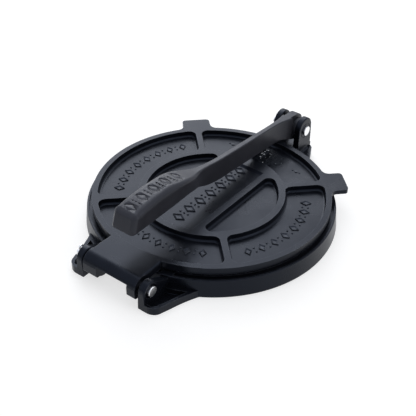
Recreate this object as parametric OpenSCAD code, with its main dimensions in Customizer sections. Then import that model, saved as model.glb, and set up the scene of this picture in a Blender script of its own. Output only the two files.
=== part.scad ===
// Cast iron tortilla press: a round base, a hinged top plate and a lever.
// Origin: centre of the round base on the table. +X runs along both pins,
// the hinge is on the -Y side and the lever's posts are on the +Y side.

/* [Base] */
// Diameter of the round base
base_d = 269; // [240:1:300]
// Height of the round base
base_h = 20.2; // [17:0.1:26]
// Thickness of the base's pressing plate
base_plate_t = 4.8; // [4:0.2:8]
// Thickness of the base's outer wall
base_wall_t = 5.6; // [5:0.2:9]
// How much the base's wall leans in from the table to its lip
base_draft = 2; // [0:0.2:3]
// Width of the ribs under the base
base_rib_w = 6; // [4:0.5:9]
// Diameter of the boss in the middle of the underside
base_boss_d = 36; // [24:1:50]

/* [Top plate] */
// Diameter of the top plate
plate_d = 254; // [230:1:262]
// Thickness of the top plate at its rim
plate_t = 10.5; // [9:0.5:14]
// Gap between the closed plates
plate_gap = 0.3; // [0.2:0.1:1]
// Depth of the wells in the top plate
well_depth = 6.8; // [4:0.2:7]
// Width of the top plate's outer rim
rim_w = 6; // [4:0.5:9]
// Inner diameter of the raised ring
ring_inner_d = 142; // [130:1:150]
// Width of the raised ring
ring_w = 7; // [5:0.5:10]
// Width of the four spokes
spoke_w = 6.6; // [4:0.2:10]
// Width of the centre panel
panel_w = 50; // [36:1:60]
// Depth of the centre panel below the ring
panel_depth = 2.6; // [1:0.2:4]
// Width of the rib on each side of the centre panel
panel_rib_w = 7; // [4:0.5:10]
// Radius of the wells' corners
well_corner_r = 8; // [4:0.5:10]
// Radius of the D-shaped pockets' corners
pocket_corner_r = 6; // [3:0.5:9]
// Width of the two lifting tabs
tab_w = 32; // [22:1:40]
// Distance from the centre to a tab's outer edge
tab_reach = 145.5; // [138:0.5:155]
// Thickness of a tab
tab_t = 5; // [4:0.5:9]

/* [Hinge] */
// Distance from the centre to the hinge pin
hinge_y = 150.5; // [148:0.5:160]
// Width of the top plate's tongue between the ears
tongue_w = 66; // [54:1:76]
// Side gap between the tongue and each ear
ear_gap = 2.5; // [1:0.5:4]
// Thickness of a hinge ear
ear_t = 8; // [6:0.5:11]
// Radius of a hinge ear round its pin
ear_r = 10.4; // [9.6:0.1:12]
// Radius of the tongue's rolled end
roll_r = 11.8; // [10.5:0.1:12.5]
// Length of the knuckle under the tongue at the pin's tail
tail_knuckle_l = 17; // [10:1:24]
// Length of the knuckle under the tongue at the pin's head
head_knuckle_l = 10; // [8:1:24]
// Diameter of the hinge pin
hinge_pin_d = 8.4; // [7:0.1:9]
// Diameter of the hinge pin's head
hinge_head_d = 11; // [9.8:0.1:14]

/* [Lever] */
// Distance from the centre to the lever pin
pivot_y = 156.6; // [154:0.2:162]
// Height of the lever pin above the top plate's rim
pivot_rise = 6; // [5:0.5:10]
// Width of the lever's hub between the posts
hub_w = 20.6; // [16:0.2:26]
// Radius of the lever's hub
hub_r = 14.8; // [14:0.2:16]
// Side gap between the hub and each post
post_gap = 0.6; // [0.4:0.1:1.5]
// Thickness of a post
post_t = 7.3; // [6:0.1:10]
// Radius of a post's rounded top
post_r = 13; // [11:0.5:14]
// Width of the lever's arm
arm_w = 6.4; // [5:0.2:12]
// Height of the lever's arm above its underside, measured beside the grip
arm_h = 25; // [20:0.5:28]
// Width of the grip
grip_w = 28.4; // [22:0.2:34]
// Height of the grip
grip_h = 24.2; // [18:0.2:26]
// Height of the grip's top above the top plate's rim
grip_rise = 54.2; // [48:0.2:60]
// Distance from the centre to the grip's end
grip_end = 141; // [125:0.5:145]
// Length of the straight part of the grip
grip_l = 70; // [56:1:80]
// Bevel along the grip's edges
grip_bevel = 3.6; // [1:0.2:6]
// Diameter of the lever pin
lever_pin_d = 9; // [7:0.1:9.6]
// Diameter of the lever pin's head
lever_head_d = 11.4; // [10.4:0.1:15]

/* [Pins] */
// Thickness of both pins' heads
pin_head_t = 2.4; // [1.5:0.1:4]
// Gap between a pin's head and the casting
head_gap = 0.2; // [0.1:0.1:1]
// Length of a pin's tail beyond the casting
pin_tail_l = 6; // [5:0.5:9]
// Clearance round a pin in the fixed casting
pin_fit = 0.05; // [0.05:0.05:0.3]
// Clearance round a pin in the moving casting
pin_play = 0.1; // [0.05:0.05:0.4]
// Diameter of the split pins' wire
split_wire_d = 2; // [1.5:0.1:2.4]

/* [Hidden] */
$fn = 96;
eps = 0.01;
iron = [0.13, 0.13, 0.14];
iron_lever = [0.17, 0.16, 0.16];
zinc = [0.80, 0.81, 0.83];

// Radii and heights
base_r = base_d / 2;
lip_r = base_r - base_draft;
plate_r = plate_d / 2;
plate_z = base_h + plate_gap;
rim_z = plate_z + plate_t;
ring_in = ring_inner_d / 2;
ring_out = ring_in + ring_w;
well_out = plate_r - rim_w;
rib_x = panel_w / 2 + panel_rib_w;

// Hinge
hinge_z = rim_z - roll_r;
tongue_x = tongue_w / 2;
ear_in = tongue_x + ear_gap;
ear_out = ear_in + ear_t;
ear_end = hinge_y + ear_r;
hinge_pin_r = hinge_pin_d / 2;
tongue_t = plate_t - 2;
hood_t = 5;
hood_drop = 8;
knuckle_foot = 9.5;
knuckle_corner_r = 3;

// Flared foot beside each hinge ear, along the table
foot_h = 8.2;
foot_tip_x = 71.6;
foot_tip_y = 112;
foot_x = ear_out + 12.5;
foot_corner_r = 6;
foot_rim_w = 3;
foot_ledge_w = 2;
foot_floor = 2;

// Lever posts and their bracket
pivot_z = rim_z + pivot_rise;
lever_pin_r = lever_pin_d / 2;
post_in = hub_w / 2 + post_gap;
post_out = post_in + post_t;
bracket_h = 15;
bracket_end = pivot_y + post_r + 2;
flare_h = 10;
flare_x = post_out + 3.5;
flare_root_x = 44;

// Lever profile
grip_top = rim_z + grip_rise;
grip_low = grip_top - grip_h;
neck_y = -10;
neck_top = grip_top - 16.2;
arm_start = 12;
arm_end = 124;
arm_low_start = rim_z + 9.4;
arm_low_end = rim_z + 2.2;
arm_slope = (arm_low_end - arm_low_start) / (arm_end - arm_start);
arm_x = arm_w / 2;
grip_x = grip_w / 2;
grip_flat_y = -grip_end + grip_l;
flare_y = pivot_y - hub_r - 30;

// Pressure pad on the top plate, under the arm
pad_x = 9;
pad_y0 = ring_out - 2;
pad_y1 = pad_y0 + 24;
pad_gap = 0.3;

// Underside of the base
rib_floor = 2;

// Rotates a Y-Z profile upright and pulls it along X between two planes
module along_x(x0, x1) {
    translate([x0, 0, 0]) rotate([90, 0, 90]) linear_extrude(x1 - x0) children();
}

// A round bar along X between two planes, centred on a Y-Z point
module bar_x(x0, x1, y, z, r) {
    translate([x0, y, z]) rotate([0, 90, 0]) cylinder(h = x1 - x0, r = r);
}

// A flat wedge from the origin, symmetric about +X
module wedge_2d(half_angle, reach) {
    polygon([[0, 0], reach * [cos(half_angle), -sin(half_angle)],
             [reach, 0], reach * [cos(half_angle), sin(half_angle)]]);
}

module ring_2d(r_in, r_out) {
    difference() {
        circle(r_out);
        circle(r_in);
    }
}

// One well between two spokes, centred on +X, with rounded corners
module well_2d() {
    r = well_corner_r;
    side = spoke_w / 2;
    out_c = well_out - r;
    in_c = ring_out + r;
    out_a = asin((side + r) / out_c);
    in_a = asin((side + r) / in_c);
    mid = (well_out + ring_out) / 2;
    intersection() {
        ring_2d(ring_out, mid);
        wedge_2d(45 - in_a, plate_d);
    }
    intersection() {
        ring_2d(mid - eps, well_out);
        wedge_2d(45 - out_a, plate_d);
    }
    for (s = [-1, 1]) {
        mirror([0, s > 0 ? 1 : 0]) rotate(-45) {
            translate([in_c * cos(in_a), side + r]) circle(r);
            translate([out_c * cos(out_a), side + r]) circle(r);
            translate([in_c * cos(in_a), side])
                square([out_c * cos(out_a) - in_c * cos(in_a), 2 * r]);
        }
    }
}

// One D-shaped pocket beside the centre panel, on the +X side
module pocket_2d() {
    r = pocket_corner_r;
    x = rib_x + r;
    y = sqrt(pow(ring_in - r, 2) - x * x);
    intersection() {
        circle(ring_in);
        wedge_2d(atan2(y, x), plate_d);
        translate([rib_x, -ring_in]) square([ring_in, ring_inner_d]);
    }
    translate([rib_x, -y]) square([r, 2 * y]);
    for (s = [-1, 1]) translate([x, s * y]) circle(r);
}

// The centre panel's outline inside the ring
module panel_2d() {
    intersection() {
        circle(ring_in);
        square([panel_w, ring_inner_d], center = true);
    }
}

// A lifting tab along +X, with rounded corners and a fillet into the rim
module tab_2d() {
    corner_r = 4;
    fillet_r = 8;
    half = tab_w / 2;
    fillet_y = half + fillet_r;
    fillet_x = sqrt(pow(plate_r + fillet_r, 2) - fillet_y * fillet_y);
    touch = plate_r / (plate_r + fillet_r);
    root = plate_r - rim_w / 2;
    translate([root, -half]) square([tab_reach - corner_r - root, tab_w]);
    translate([tab_reach - 2 * corner_r, -half + corner_r])
        square([2 * corner_r, tab_w - 2 * corner_r]);
    for (s = [-1, 1]) {
        translate([tab_reach - corner_r, s * (half - corner_r)]) circle(corner_r);
        difference() {
            polygon([[root, s * (half - 1)], [fillet_x, s * (half - 1)],
                     [fillet_x, s * fillet_y], touch * [fillet_x, s * fillet_y],
                     (touch - 0.02) * [fillet_x, s * fillet_y], [root - 1, s * half]]);
            translate([fillet_x, s * fillet_y]) circle(fillet_r);
        }
    }
}

// The press pad follows the arm's underside
function arm_low(y) = arm_low_start + arm_slope * (y - arm_start);

module pressure_pad() {
    along_x(-pad_x, pad_x)
        polygon([[pad_y0, rim_z - well_depth - 1], [pad_y1 + 2, rim_z - well_depth - 1],
                 [pad_y1, arm_low(pad_y1) - pad_gap],
                 [pad_y0 + 3, arm_low(pad_y0 + 3) - pad_gap], [pad_y0, rim_z - 1]]);
}

// The front of a knuckle, its lower corners rounded
module knuckle_2d(w, h, r) {
    translate([r, 0]) square([w - 2 * r, h]);
    translate([0, r]) square([w, h - r]);
    for (y = [r, w - r]) translate([y, r]) circle(r);
}

// Tongue, rolled hood and the two knuckles of the top plate
module hinge_tongue() {
    slab_y = -plate_r + 14;
    translate([-tongue_x, -hinge_y, rim_z - tongue_t])
        cube([tongue_w, hinge_y + slab_y, tongue_t]);
    intersection() {
        difference() {
            bar_x(-tongue_x, tongue_x, -hinge_y, hinge_z, roll_r);
            bar_x(-tongue_w, tongue_w, -hinge_y, hinge_z, roll_r - hood_t);
        }
        translate([-tongue_x, -hinge_y - roll_r, rim_z - hood_drop])
            cube([tongue_w, roll_r + eps, hood_drop + 1]);
    }
    for (s = [-1, 1]) {
        knuckle_l = s > 0 ? head_knuckle_l : tail_knuckle_l;
        x0 = s > 0 ? tongue_x - knuckle_l : -tongue_x;
        bar_x(x0, x0 + knuckle_l, -hinge_y, hinge_z, roll_r);
        along_x(x0, x0 + knuckle_l) translate([-hinge_y - roll_r, hinge_z - knuckle_foot])
            knuckle_2d(roll_r, knuckle_foot + 2, knuckle_corner_r);
    }
}

module top_plate() {
    color(iron) difference() {
        union() {
            rotate_extrude() polygon([
                [0, plate_z], [plate_r - 1.2, plate_z], [plate_r, plate_z + 1.2],
                [plate_r, rim_z - 1.2], [plate_r - 1.2, rim_z], [0, rim_z]]);
            for (a = [45, 135]) rotate(a)
                translate([0, 0, rim_z - tab_t]) linear_extrude(tab_t) tab_2d();
            hinge_tongue();
        }
        difference() {
            translate([0, 0, rim_z - well_depth]) linear_extrude(well_depth + 1)
                for (a = [0:90:270]) rotate(a) well_2d();
            pressure_pad();
        }
        translate([0, 0, rim_z - well_depth]) linear_extrude(well_depth + 1) {
            pocket_2d();
            mirror([1, 0]) pocket_2d();
        }
        translate([0, 0, rim_z - panel_depth]) linear_extrude(panel_depth + 1) panel_2d();
        bar_x(-tongue_w, tongue_w, -hinge_y, hinge_z, hinge_pin_r + pin_play);
    }
    color(iron) intersection() {
        pressure_pad();
        translate([-pad_x, pad_y0, rim_z - 2]) cube([2 * pad_x, 40, 40]);
    }
}

// Plan of the low flared foot beside the +X hinge ear
module foot_2d(inset) {
    r = foot_corner_r;
    y = -ear_end + r;
    hull() {
        translate([foot_x - r, y]) circle(r - inset, $fn = 32);
        translate([ear_out - 1 + inset, y]) circle(r - inset, $fn = 32);
        translate([foot_tip_x - 2 * inset, -foot_tip_y - inset]) circle(0.2, $fn = 32);
        translate([ear_out - 1 + inset, -foot_tip_y - inset]) circle(0.2, $fn = 32);
    }
}

// One hinge ear on the +X side with its flared foot
module hinge_ear() {
    root_y = -base_r * cos(asin(ear_out / base_r)) + 6;
    bar_x(ear_in, ear_out, -hinge_y, hinge_z, ear_r);
    along_x(ear_in, ear_out)
        polygon([[-ear_end, 0], [root_y, 0], [root_y, base_h - 2], [root_y - 7, base_h - 2],
                 [-hinge_y + ear_r * cos(40), hinge_z + ear_r * sin(40)], [-hinge_y, hinge_z],
                 [-ear_end, hinge_z]]);
    difference() {
        linear_extrude(foot_h) foot_2d(0);
        translate([0, 0, foot_floor]) linear_extrude(foot_h) foot_2d(foot_rim_w);
        translate([0, 0, -1]) cylinder(h = foot_h + 2, r = lip_r - 1);
    }
    intersection() {
        linear_extrude(foot_h) foot_2d(0);
        difference() {
            cylinder(h = foot_h, r = base_r + foot_ledge_w);
            translate([0, 0, -1]) cylinder(h = foot_h + 2, r = lip_r - 1);
        }
    }
}

// Plan of the lever bracket's low flared foot
module bracket_2d(x_root, x_end) {
    y_root = sqrt(base_r * base_r - x_root * x_root) - 3;
    corner = 5;
    polygon([[-x_root, y_root], [-x_end - 8, y_root + 22], [-x_end, bracket_end - corner],
             [-x_end + corner, bracket_end], [x_end - corner, bracket_end],
             [x_end, bracket_end - corner], [x_end + 8, y_root + 22], [x_root, y_root]]);
}

module lever_posts() {
    root_y = base_r - 8;
    for (s = [-1, 1]) {
        x0 = s > 0 ? post_in : -post_out;
        bar_x(x0, x0 + post_t, pivot_y, pivot_z, post_r);
        translate([x0, pivot_y - post_r, 0]) cube([post_t, 2 * post_r, pivot_z]);
    }
    translate([-post_out, root_y, 0]) cube([2 * post_out, bracket_end - root_y, bracket_h]);
    linear_extrude(flare_h) bracket_2d(flare_root_x, flare_x);
}

// A cross of ribs and a boss that stiffen the pressing plate from below
module base_ribs() {
    rib_h = base_h - base_plate_t - rib_floor + 1;
    cylinder(h = base_h - 1, r = base_boss_d / 2);
    for (a = [0:90:270]) rotate(a)
        translate([0, -base_rib_w / 2, rib_floor]) cube([base_r - 2, base_rib_w, rib_h]);
}

module base_plate() {
    color(iron) difference() {
        union() {
            difference() {
                rotate_extrude() polygon([
                    [0, 0], [base_r - 1.2, 0], [base_r, 1.2], [lip_r, base_h - 4],
                    [lip_r - 0.2, base_h - 2], [lip_r - 0.8, base_h - 0.8],
                    [lip_r - 1.8, base_h], [0, base_h]]);
                translate([0, 0, -1]) cylinder(h = base_h - base_plate_t + 1,
                                               r = base_r - base_wall_t);
            }
            base_ribs();
            hinge_ear();
            mirror([1, 0, 0]) hinge_ear();
            lever_posts();
        }
        bar_x(-base_r, base_r, -hinge_y, hinge_z, hinge_pin_r + pin_fit);
        bar_x(-base_r, base_r, pivot_y, pivot_z, lever_pin_r + pin_fit);
    }
}

// Side view of the lever, grip on the left
module lever_side_2d() {
    arm_top_end = arm_low_end + arm_h - 0.9;
    polygon([
        [-grip_end, grip_low + 2], [-grip_end + 1.6, grip_top - 15],
        [-grip_end + 3.6, grip_top - 10], [-grip_end + 7, grip_top - 6.6],
        [-grip_end + 13, grip_top - 3.6], [-grip_end + 22, grip_top - 1.4],
        [-grip_end + 34, grip_top - 0.3], [-grip_end + 48, grip_top],
        [grip_flat_y - 10, grip_top - 0.6], [grip_flat_y + 4, grip_top - 2.6],
        [grip_flat_y + 17, grip_top - 5.8], [grip_flat_y + 28, grip_top - 9.4],
        [grip_flat_y + 40, neck_top + 3], [neck_y, neck_top],
        [arm_start, arm_low_start + arm_h],
        [arm_end, arm_top_end], [pivot_y - hub_r, pivot_z + hub_r + 1],
        [pivot_y, pivot_z + hub_r - 0.1],
        [pivot_y, pivot_z - hub_r + 0.1], [pivot_y - hub_r + 3, rim_z - 4.4],
        [arm_end, arm_low_end], [arm_start, arm_low_start], [arm_start - 12, rim_z + 11.6],
        [neck_y - 10, rim_z + 17], [neck_y - 20, rim_z + 23], [neck_y - 32, rim_z + 27.6],
        [grip_flat_y + 13, grip_low + 1], [grip_flat_y - 8, grip_low + 0.6],
        [-grip_end + 12, grip_low], [-grip_end + 4, grip_low]]);
}

// Top view of the lever
module lever_plan_2d() {
    corner = 2.6;
    widths = [[-grip_end, grip_x - corner], [-grip_end + corner + 2, grip_x],
              [grip_flat_y + 8, grip_x], [grip_flat_y + 17, grip_x - 1],
              [grip_flat_y + 28, grip_x - 3.2], [grip_flat_y + 38, arm_x + 3.2],
              [grip_flat_y + 48, arm_x + 0.6], [grip_flat_y + 60, arm_x], [flare_y, arm_x],
              [flare_y + 16, arm_x + 2], [flare_y + 27, hub_w / 2 - 2.6],
              [flare_y + 38, hub_w / 2], [pivot_y, hub_w / 2]];
    last = len(widths) - 1;
    polygon(concat([for (p = widths) [p[1], p[0]]],
                   [for (i = [last:-1:0]) [-widths[i][1], widths[i][0]]]));
}

// Cross-section that bevels the long edges over the grip's width
module lever_section_2d() {
    top = grip_top + 1;
    low = pivot_z - hub_r - 1;
    b = grip_bevel;
    polygon([[-grip_x, low], [grip_x, low], [grip_x, grip_top - b], [grip_x - b, grip_top],
             [-grip_x + b, grip_top], [-grip_x, grip_top - b]]);
}

module lever() {
    color(iron_lever) difference() {
        union() {
            intersection() {
                along_x(-grip_x, grip_x) lever_side_2d();
                linear_extrude(grip_top + 10) lever_plan_2d();
                translate([0, pivot_y, 0]) rotate([90, 0, 0])
                    linear_extrude(pivot_y + grip_end + 1) lever_section_2d();
            }
            bar_x(-hub_w / 2, hub_w / 2, pivot_y, pivot_z, hub_r);
        }
        bar_x(-hub_w, hub_w, pivot_y, pivot_z, lever_pin_r + pin_play);
    }
}

// A headed pin along X: its head on +X, its cross-drilled tail on -X
module headed_pin(y, z, r, head_r, outer) {
    tail_x = -outer - pin_tail_l;
    difference() {
        union() {
            bar_x(tail_x + 1, outer + head_gap + eps, y, z, r);
            translate([tail_x, y, z]) rotate([0, 90, 0]) cylinder(h = 1, r1 = r - 0.8, r2 = r);
            bar_x(outer + head_gap, outer + head_gap + pin_head_t, y, z, head_r);
        }
        translate([split_x(outer), y, z]) cylinder(h = 4 * r, r = split_hole_r, center = true);
    }
}

split_r = split_wire_d / 2;
split_hole_r = split_r + 0.15;
function split_x(outer) = -outer - pin_tail_l / 2 + 0.3;

// A split pin dropped through a pin's tail, its legs bent apart below
module split_pin(y, z, r, outer) {
    eye_r = split_r * 2.1;
    leg_r = split_r * 0.62;
    leg_l = 5;
    translate([split_x(outer), y, z]) {
        translate([0, 0, -r - 1]) cylinder(h = 2 * r + 2, r = split_r);
        translate([0, 0, r + 1 + eye_r - 0.4]) rotate([0, 90, 0])
            rotate_extrude() translate([eye_r, 0]) circle(split_r, $fn = 24);
        for (s = [-1, 1]) translate([0, s * 0.3, -r - 0.7]) rotate([180 + s * 32, 0, 0])
            cylinder(h = leg_l, r = leg_r, $fn = 24);
    }
}

module hinge_pin() {
    color(zinc) headed_pin(-hinge_y, hinge_z, hinge_pin_r, hinge_head_d / 2, ear_out);
}

module hinge_split_pin() {
    color(zinc) split_pin(-hinge_y, hinge_z, hinge_pin_r, ear_out);
}

module lever_pin() {
    color(zinc) headed_pin(pivot_y, pivot_z, lever_pin_r, lever_head_d / 2, post_out);
}

module lever_split_pin() {
    color(zinc) split_pin(pivot_y, pivot_z, lever_pin_r, post_out);
}

base_plate();
top_plate();
lever();
hinge_pin();
hinge_split_pin();
lever_pin();
lever_split_pin();
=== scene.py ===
import math

import bmesh
import bpy
from mathutils import Matrix, Vector


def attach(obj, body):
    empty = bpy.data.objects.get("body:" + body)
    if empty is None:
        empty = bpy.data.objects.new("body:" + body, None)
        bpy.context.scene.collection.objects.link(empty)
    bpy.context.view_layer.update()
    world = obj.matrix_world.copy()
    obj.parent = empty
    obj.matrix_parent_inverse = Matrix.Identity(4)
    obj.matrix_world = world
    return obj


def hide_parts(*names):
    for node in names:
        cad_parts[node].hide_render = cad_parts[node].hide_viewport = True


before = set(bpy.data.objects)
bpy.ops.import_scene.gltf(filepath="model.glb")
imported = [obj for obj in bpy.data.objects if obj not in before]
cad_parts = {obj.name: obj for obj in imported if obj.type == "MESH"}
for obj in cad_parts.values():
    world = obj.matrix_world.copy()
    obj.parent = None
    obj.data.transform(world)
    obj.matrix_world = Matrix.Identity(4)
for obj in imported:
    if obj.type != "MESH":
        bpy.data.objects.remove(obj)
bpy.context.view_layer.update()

MM = 0.001

# ---------------------------------------------------------------- sizes, in millimetres
# The press stands on Z = 0. Both pins lie along X, the hinge at -Y and the lever's posts at +Y.

# the base: its outside, its thickness, and the groove inside its lip
BASE_R, BASE_H = 134.5, 20.2
SKIRT_WALL, BASE_TOP_WALL = 5.6, 4.8
GROOVE_OUT, GROOVE_IN, GROOVE_DEPTH = 130.3, 125.2, 2.6

# the top plate: its outside, the raised ring, and the four wells around it
LID_R, LID_Z, RIM_Z = 127.0, 20.5, 31.0
RING_IN, RING_OUT, WELL_OUT = 71.0, 78.0, 121.0
WELL_FLOOR, PANEL_FLOOR, FLOOR_SWEEP = 24.2, 28.4, 2.6
SPOKE_W, PANEL_X, POCKET_X = 6.6, 25.0, 32.0
WELL_CORNER_R, POCKET_CORNER_R = 8.0, 7.0

# the hinge: its pin, the plate's tongue rolled around it, and the base's ears beside it
HINGE_Y, HINGE_Z, HINGE_PIN_R = -150.5, 19.2, 4.2
TONGUE_X, TONGUE_Y, ROLL_R = 33.0, -121.8, 11.8
EAR_IN, EAR_OUT, EAR_R = 35.5, 43.5, 10.4
EAR_X = (EAR_IN + EAR_OUT) / 2

# the lever's pivot: its pin, the base's posts, whose round heads rise a little above it, and the
# lever's hub and collar between them
PIVOT_Y, PIVOT_Z, LEVER_PIN_R = 156.6, 37.0, 4.5
POST_IN, POST_OUT, POST_R, POST_RISE = 10.9, 18.2, 13.0, 2.7
HUB_X, HUB_R, HUB_CORE_X, COLLAR_R = 10.3, 14.8, 5.5, 11.8

# how much wider than its pin a bore is, where the pin stands still and where a casting turns on it
STILL_FIT, TURNING_FIT = 0.05, 0.1


# ---------------------------------------------------------------- modelling helpers
def clear_selection():
    """Leaves edit mode with nothing selected."""
    if bpy.context.object and bpy.context.object.mode != "OBJECT":
        bpy.ops.object.mode_set(mode="OBJECT")
    bpy.ops.object.select_all(action="DESELECT")


def activate(piece):
    """Selects one piece alone and makes it the active one."""
    clear_selection()
    piece.select_set(True)
    bpy.context.view_layer.objects.active = piece


def settle(piece):
    """Moves the piece's place and turn into its mesh."""
    activate(piece)
    bpy.ops.object.transform_apply(location=True, rotation=True, scale=True)
    return piece


def pick(piece, test, kind="edges"):
    """Opens the piece in edit mode with the corners, edges or faces that pass the test selected."""
    activate(piece)
    bpy.ops.object.mode_set(mode="EDIT")
    mode = {"verts": "VERT", "edges": "EDGE", "faces": "FACE"}[kind]
    bpy.ops.mesh.select_mode(type=mode)
    bpy.ops.mesh.select_all(action="DESELECT")
    shape = bmesh.from_edit_mesh(piece.data)
    for part in getattr(shape, kind):
        if test(part):
            part.select_set(True)
    shape.select_flush_mode()
    bmesh.update_edit_mesh(piece.data)


def close_edit(outward=False):
    """Leaves edit mode, with every face turned outward first where that is asked."""
    if outward:
        bpy.ops.mesh.select_all(action="SELECT")
        bpy.ops.mesh.normals_make_consistent(inside=False)
    bpy.ops.object.mode_set(mode="OBJECT")


def everything(part):
    """A test that every corner, edge and face passes."""
    return True


def square_to_x(edge):
    """A test for an edge that lies in one X plane, as those around a prism's end do."""
    return abs(edge.verts[0].co.x - edge.verts[1].co.x) < 1e-6


def flat_at(z, near=0.05):
    """A test for an edge that lies at a height."""
    return lambda edge: all(abs(v.co.z / MM - z) < near for v in edge.verts)


def vertical_at(x, y, near=1.5):
    """A test for a vertical edge that stands at a place."""
    def test(edge):
        a, b = (v.co / MM for v in edge.verts)
        return (abs(a.z - b.z) > 1 and math.hypot(a.x - b.x, a.y - b.y) < 0.05
                and math.hypot(a.x - x, a.y - y) < near)
    return test


def round_edges(piece, test, width, segments=4):
    """Rounds the edges that pass the test."""
    pick(piece, test)
    bpy.ops.mesh.bevel(offset=width * MM, segments=segments, affect="EDGES", clamp_overlap=True)
    close_edit()
    return piece


def prism(outline, axis, low, high):
    """A straight-sided block: an outline pulled along X, Y or Z between two planes."""
    clear_selection()
    bpy.ops.mesh.primitive_circle_add(vertices=len(outline), radius=1, fill_type="NGON")
    piece = bpy.context.object
    for corner, (a, b) in zip(piece.data.vertices, outline):
        place = {"X": (low, a, b), "Y": (a, low, b), "Z": (a, b, low)}[axis]
        corner.co = Vector(place) * MM
    pull = Vector([high - low if name == axis else 0 for name in "XYZ"]) * MM
    bpy.ops.object.mode_set(mode="EDIT")
    bpy.ops.mesh.select_all(action="SELECT")
    bpy.ops.mesh.extrude_region_move(TRANSFORM_OT_translate={"value": pull})
    close_edit(outward=True)
    return piece


def lathe(profile, steps=192):
    """A solid turned about Z from its outline, which starts and ends on the axis."""
    clear_selection()
    bpy.ops.mesh.primitive_circle_add(vertices=len(profile), radius=1, fill_type="NOTHING")
    piece = bpy.context.object
    for corner, (r, z) in zip(piece.data.vertices, profile):
        corner.co = Vector((r, 0, z)) * MM
    bpy.ops.object.mode_set(mode="EDIT")
    bpy.ops.mesh.select_all(action="SELECT")
    bpy.ops.mesh.spin(steps=steps, angle=2 * math.pi, center=(0, 0, 0), axis=(0, 0, 1))
    bpy.ops.mesh.select_all(action="SELECT")
    bpy.ops.mesh.remove_doubles(threshold=0.00001)
    bpy.ops.mesh.delete_loose()
    close_edit(outward=True)
    return piece


def arc(x, y, r, start, end, step=12):
    """Points on an arc about a centre, both ends included."""
    count = max(2, int(abs(end - start) / step) + 1)
    angles = [math.radians(start + (end - start) * i / (count - 1)) for i in range(count)]
    return [(x + r * math.cos(a), y + r * math.sin(a)) for a in angles]


def block(x0, x1, y0, y1, z0, z1):
    """A square block between its six sides."""
    clear_selection()
    bpy.ops.mesh.primitive_cube_add(
        size=1, location=Vector(((x0 + x1) / 2, (y0 + y1) / 2, (z0 + z1) / 2)) * MM,
        scale=Vector((x1 - x0, y1 - y0, z1 - z0)) * MM)
    return settle(bpy.context.object)


def disc(r, z0, z1, around=192):
    """A round disc about the Z axis."""
    clear_selection()
    bpy.ops.mesh.primitive_cylinder_add(
        vertices=around, radius=r * MM, depth=(z1 - z0) * MM,
        location=Vector((0, 0, (z0 + z1) / 2)) * MM)
    return settle(bpy.context.object)


def bar(x0, x1, y, z, r, around=64):
    """A round bar along X."""
    clear_selection()
    bpy.ops.mesh.primitive_cylinder_add(
        vertices=around, radius=r * MM, depth=(x1 - x0) * MM,
        location=Vector(((x0 + x1) / 2, y, z)) * MM, rotation=(0, math.pi / 2, 0))
    return settle(bpy.context.object)


def ring(x, y, z, r, thick):
    """A thin ring about a line along X."""
    clear_selection()
    bpy.ops.mesh.primitive_torus_add(
        major_segments=48, minor_segments=10, major_radius=r * MM, minor_radius=thick * MM,
        location=Vector((x, y, z)) * MM, rotation=(0, math.pi / 2, 0))
    return settle(bpy.context.object)


def combine(piece, tool, how="UNION"):
    """Joins the tool's solid to the piece, or takes it away, and merges what then lies together."""
    activate(piece)
    step = piece.modifiers.new("combine", "BOOLEAN")
    step.operation, step.object, step.solver = how, tool, "EXACT"
    bpy.ops.object.modifier_apply(modifier=step.name)
    bpy.data.objects.remove(tool)
    bpy.ops.object.mode_set(mode="EDIT")
    bpy.ops.mesh.select_all(action="SELECT")
    bpy.ops.mesh.remove_doubles(threshold=0.000006)
    bpy.ops.mesh.dissolve_degenerate(threshold=0.000006)
    bpy.ops.object.mode_set(mode="OBJECT")
    return piece


def cut(piece, tool):
    """Takes the tool's solid out of the piece."""
    return combine(piece, tool, "DIFFERENCE")


def slice_off(piece, place, normal):
    """Cuts away what lies beyond a plane and closes the cut."""
    pick(piece, everything, "verts")
    bpy.ops.mesh.bisect(plane_co=Vector(place) * MM, plane_no=normal,
                        use_fill=True, clear_outer=True)
    close_edit()
    return piece


def turned(piece, degrees):
    """The piece turned about the Z axis."""
    piece.rotation_euler = (0, 0, math.radians(degrees))
    return settle(piece)


def mirrored(piece):
    """A copy on the other side of the X = 0 plane."""
    activate(piece)
    bpy.ops.object.duplicate()
    twin = bpy.context.object
    twin.scale = (-1, 1, 1)
    settle(twin)
    pick(twin, everything, "verts")
    close_edit(outward=True)
    return twin


def join(piece, others):
    """Puts the others' meshes into the piece's, side by side."""
    activate(piece)
    for other in others:
        other.select_set(True)
    bpy.ops.object.join()
    return piece


def seal(piece):
    """Closes the hairline gaps that joining solids can leave."""
    activate(piece)
    bpy.ops.object.mode_set(mode="EDIT")
    bpy.ops.mesh.select_mode(type="VERT")
    bpy.ops.mesh.select_all(action="DESELECT")
    bpy.ops.mesh.select_non_manifold(use_wire=False, use_multi_face=False,
                                     use_non_contiguous=False, use_verts=False)
    bpy.ops.mesh.fill_holes(sides=0)
    close_edit(outward=True)
    return piece


def soften(piece, width, angle=32, segments=3):
    """Cleans the casting's mesh, rounds every sharp edge and shades it."""
    pick(piece, everything, "verts")
    bpy.ops.mesh.remove_doubles(threshold=0.00002)
    bpy.ops.mesh.dissolve_limited(angle_limit=math.radians(0.6))
    seal(piece)
    edge = piece.modifiers.new("cast edges", "BEVEL")
    edge.limit_method, edge.angle_limit = "ANGLE", math.radians(angle)
    edge.width, edge.segments, edge.use_clamp_overlap = width * MM, segments, True
    edge.miter_outer = "MITER_ARC"
    bpy.ops.object.modifier_apply(modifier=edge.name)
    bpy.ops.object.shade_smooth_by_angle(angle=math.radians(35))
    flat = piece.modifiers.new("flat faces", "WEIGHTED_NORMAL")
    flat.mode, flat.keep_sharp = "FACE_AREA", True
    bpy.ops.object.modifier_apply(modifier=flat.name)
    return piece


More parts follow.
